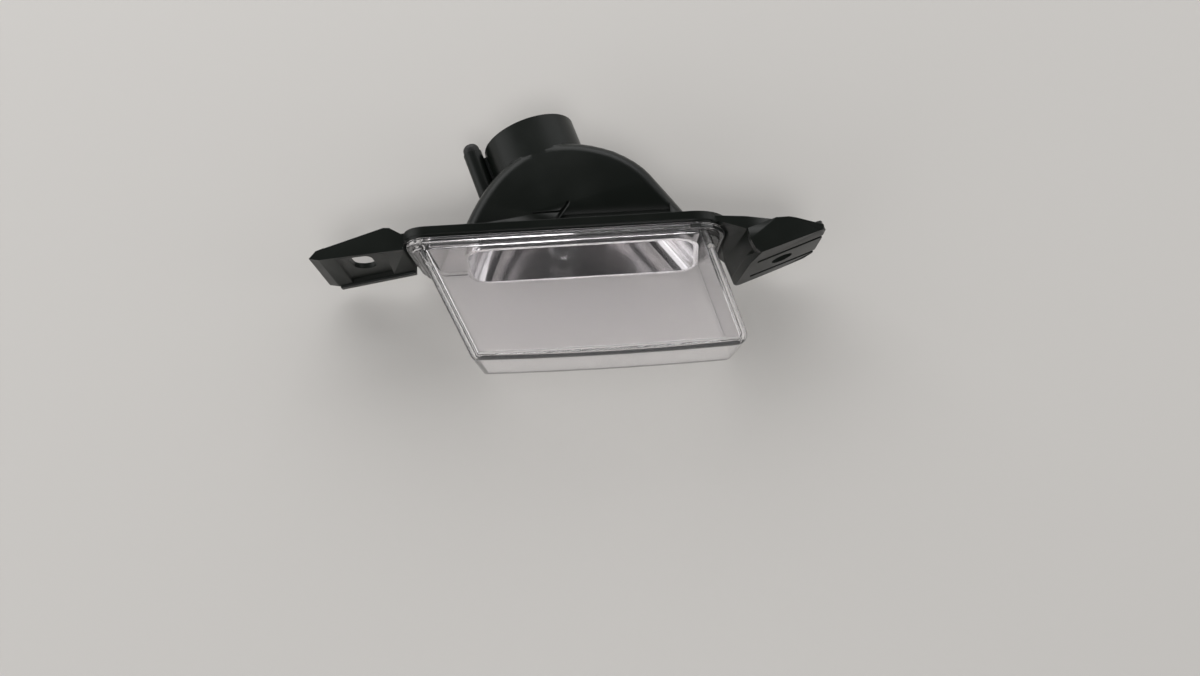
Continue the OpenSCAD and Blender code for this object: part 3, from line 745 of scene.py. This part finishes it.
# %% Spinning a profile round the bulb axis
def spin_profile(profile, segments=64):
    bm = bmesh.new()
    verts = [bm.verts.new((r, y, 0)) for r, y in profile]
    edges = [bm.edges.new(pair) for pair in zip(verts, verts[1:])]
    bmesh.ops.spin(bm, geom=verts + edges, cent=(0, 0, 0), axis=(0, 1, 0), angle=2 * pi,
                   steps=segments, use_merge=True)
    bmesh.ops.remove_doubles(bm, verts=bm.verts, dist=WELD / 2)
    bmesh.ops.recalc_face_normals(bm, faces=bm.faces)
    return bm


def bulb_profile(inset):
    ball = NOSE - (BULB_LEN - BULB_R)
    r = BULB_R - inset
    tip = [(r * sin(radians(a)), ball - r * cos(radians(a))) for a in range(0, 91, 9)]
    tip[0] = (0.0, tip[0][1])
    tube = tip + [(r, NOSE - SHOULDER[0]), (r - TAPER, NOSE - SHOULDER[1])]
    if inset:
        return tube + [(PINCH_R, NOSE - PINCH), (0.0, NOSE - PINCH)]
    return tube + [(NECK_R, NOSE - SHOULDER[2]), (NECK_R - TAPER, NOSE), (0.0, NOSE)]


# %% The glass
def flat_base():
    bm = bmesh.new()
    bmesh.ops.create_cube(bm, size=1.0)
    bmesh.ops.scale(bm, vec=FLAT_SIZE, verts=bm.verts)
    bmesh.ops.translate(bm, vec=(0, NOSE + FLAT_BEHIND, 0), verts=bm.verts)
    round_edges(bm, bm.edges[:], FLAT_EDGE, segments=3)
    return bm


shell = as_object(spin_profile(bulb_profile(0.0)), "bulb")
join(shell, as_object(flat_base(), "flat"), "UNION")
join(shell, as_object(spin_profile(bulb_profile(GLASS_T)), "inside"), "DIFFERENCE")
bulb_mesh = as_bmesh(shell)
bmesh.ops.scale(bulb_mesh, vec=(MM, MM, MM), verts=bulb_mesh.verts)
bulb = finish_piece("bulb_shell", bulb_mesh, glass, 35, replaces=("bulb_glass",))
bulb.visible_shadow = False  # as for the lens

# %% [markdown]
# ## The vent plug
#
# The plug closes the end of the vent tube. It is a round cap on a thin shank, so it is half a
# profile, spun like the bulb. The cap's edge is a quarter circle.

# %% Vent plug
VENT_END = 50.15
SHANK_R, SHANK_LEN = 1.85, 5.0
CAP_R, CAP_H, CAP_EDGE = 3.1, 3.6, 2.2
CAP_CHAMFER, CAP_CROWN = 0.3, 0.15


def vent_cap():
    edge = [(CAP_R - CAP_EDGE + CAP_EDGE * cos(radians(a)),
             CAP_H - CAP_EDGE + CAP_EDGE * sin(radians(a))) for a in range(0, 91, 10)]
    shank = [(0.0, -SHANK_LEN), (SHANK_R, -SHANK_LEN), (SHANK_R, 0.0)]
    ledge = [(CAP_R - CAP_CHAMFER, 0.0), (CAP_R, CAP_CHAMFER)]
    bm = spin_profile(shank + ledge + edge + [(0.0, CAP_H + CAP_CROWN)])
    bmesh.ops.translate(bm, vec=(VENT_X, VENT_END, VENT_Z), verts=bm.verts)
    bmesh.ops.scale(bm, vec=(MM, MM, MM), verts=bm.verts)
    finish_piece("vent_cap", bm, plug_black, 35, replaces=("vent_plug",))


vent_cap()

# %% [markdown]
# ## The filament
#
# The filament is a fine coil between the two lead wires. A curve with a bevel could draw it too,
# but a small circle, spun with a rise as a screw thread is, is a closed mesh at once. It is laid
# along the X axis.

# %% The coil
FILAMENT_Y = 14.4


def coil(turns=9, coil_r=0.42, wire_r=0.1, length=4.2, turn_steps=20):
    bm = bmesh.new()
    ring = bmesh.ops.create_circle(bm, segments=8, radius=wire_r)
    bmesh.ops.translate(bm, vec=(coil_r, 0, 0), verts=ring["verts"])
    turn = Matrix.Rotation(QUARTER, 3, "X")
    bmesh.ops.rotate(bm, matrix=turn, cent=(coil_r, 0, 0), verts=ring["verts"])
    steps = turn_steps * turns
    bmesh.ops.spin(bm, geom=bm.verts[:] + bm.edges[:], cent=(0, 0, 0), axis=(0, 0, 1),
                   dvec=(0, 0, length / steps), angle=2 * pi * turns, steps=steps,
                   use_merge=False)
    bmesh.ops.holes_fill(bm, edges=[e for e in bm.edges if e.is_boundary])
    bmesh.ops.recalc_face_normals(bm, faces=bm.faces)
    bmesh.ops.translate(bm, vec=(0, 0, -length / 2), verts=bm.verts)
    lay = Matrix.Translation((0, FILAMENT_Y * MM, 0)) @ Matrix.Rotation(QUARTER, 4, "Y")
    bmesh.ops.transform(bm, matrix=lay @ Matrix.Scale(MM, 4), verts=bm.verts)
    finish_piece("filament_coil", bm, coil_metal, 60, replaces=("filament",))


coil()

# %% [markdown]
# ## Floor, light and camera
#
# The lamp lies on a pale floor in soft light that comes from behind and from both sides. The pale
# background is the floor's own colour, and the lamps stay at a level at which that colour renders
# about as it is written. Large soft boxes give soft shadows and broad, even reflections.

# %% Floor
FLOOR_COLOUR = (0.62, 0.60, 0.575)
FLOOR_GAP, FLOOR_HALF = 0.0002, 3.0  # in metres
FLOOR_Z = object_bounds()[0].z - FLOOR_GAP
floor_bm = bmesh.new()
bmesh.ops.create_grid(floor_bm, x_segments=1, y_segments=1, size=FLOOR_HALF)
bmesh.ops.translate(floor_bm, vec=(0, 0, FLOOR_Z), verts=floor_bm.verts)
floor = as_object(floor_bm, "floor")
pale = Finish("pale floor", Roughness=0.6, Base_Color=rgb(*FLOOR_COLOUR))
floor.data.materials.append(pale.material)
print("floor at", round(FLOOR_Z / MM, 2), "mm")

# %% Soft boxes
# each with its place and size in metres and its power in watts
SOFT_BOXES = (
    ("back soft box", (0.1, 1.3, 0.8), (2.2, 0.9), 17.2),
    ("left soft box", (-1.3, 0.1, 0.6), (2.2, 1.1), 9.3),
    ("right soft box", (1.3, 0.0, 0.75), (2.2, 1.1), 8.0),
    ("front soft box", (-0.2, -0.75, 1.2), (0.5, 0.35), 4.4),
)
AIM = Vector((0, 0, 0))


def soft_box(name, place, size, watts):
    data = bpy.data.lights.new(name, "AREA")
    data.shape = "RECTANGLE"
    data.size, data.size_y = size
    data.energy = watts
    box = bpy.data.objects.new(name, data)
    scene.collection.objects.link(box)
    box.location = place
    box.rotation_euler = (AIM - Vector(place)).to_track_quat("-Z", "Y").to_euler()


for settings in SOFT_BOXES:
    soft_box(*settings)
print("soft boxes:", len(SOFT_BOXES))


# %% The room
# The room is bright near the horizon and dark overhead, where the photographer stands.
def studio_world(overhead, horizon):
    world = bpy.data.worlds.new("studio")
    world.use_nodes = True
    room = Pattern(world.node_tree)
    direction = room.node("TexCoord", out="Generated")
    height = room.node("SeparateXYZ", {}, {0: direction}, out="Z")
    level = (1.0 - height).clamp()
    shade = room.mix(level * level, rgb(*[overhead] * 3), rgb(*[horizon] * 3))
    background = world.node_tree.nodes["Background"]
    world.node_tree.links.new(shade.socket, background.inputs["Color"])
    return world


scene.world = studio_world(overhead=0.05, horizon=0.9)
scene.view_settings.view_transform = "Standard"
print("world:", scene.world.name)

# %% Camera
# The focal length, in pixels of the photograph, and the place come from lines of the photograph
# that are square or level on the lamp.
FOCAL_PIXELS, PHOTO_WIDTH, SENSOR = 867.0, 1200.0, 36.0
CAMERA_AT = Vector((-26.9, -97.2, 307.98))
FORWARD = Vector((0.0776, 0.2021, -0.9763))
TO_THE_RIGHT = Vector((0.9336, -0.3584, 0.0))

camera_data = bpy.data.cameras.new("camera")
camera_data.sensor_width = SENSOR
camera_data.lens = FOCAL_PIXELS / PHOTO_WIDTH * SENSOR
camera_data.clip_start = 0.01
camera = bpy.data.objects.new("camera", camera_data)
scene.collection.objects.link(camera)
forward = FORWARD.normalized()
up = TO_THE_RIGHT.normalized().cross(forward).normalized()
right = forward.cross(up).normalized()
turned = Matrix((right, up, -forward)).transposed().to_4x4()
camera.matrix_world = Matrix.Translation(CAMERA_AT * MM) @ turned
scene.camera = camera
print("camera lens in mm:", round(camera_data.lens, 2))
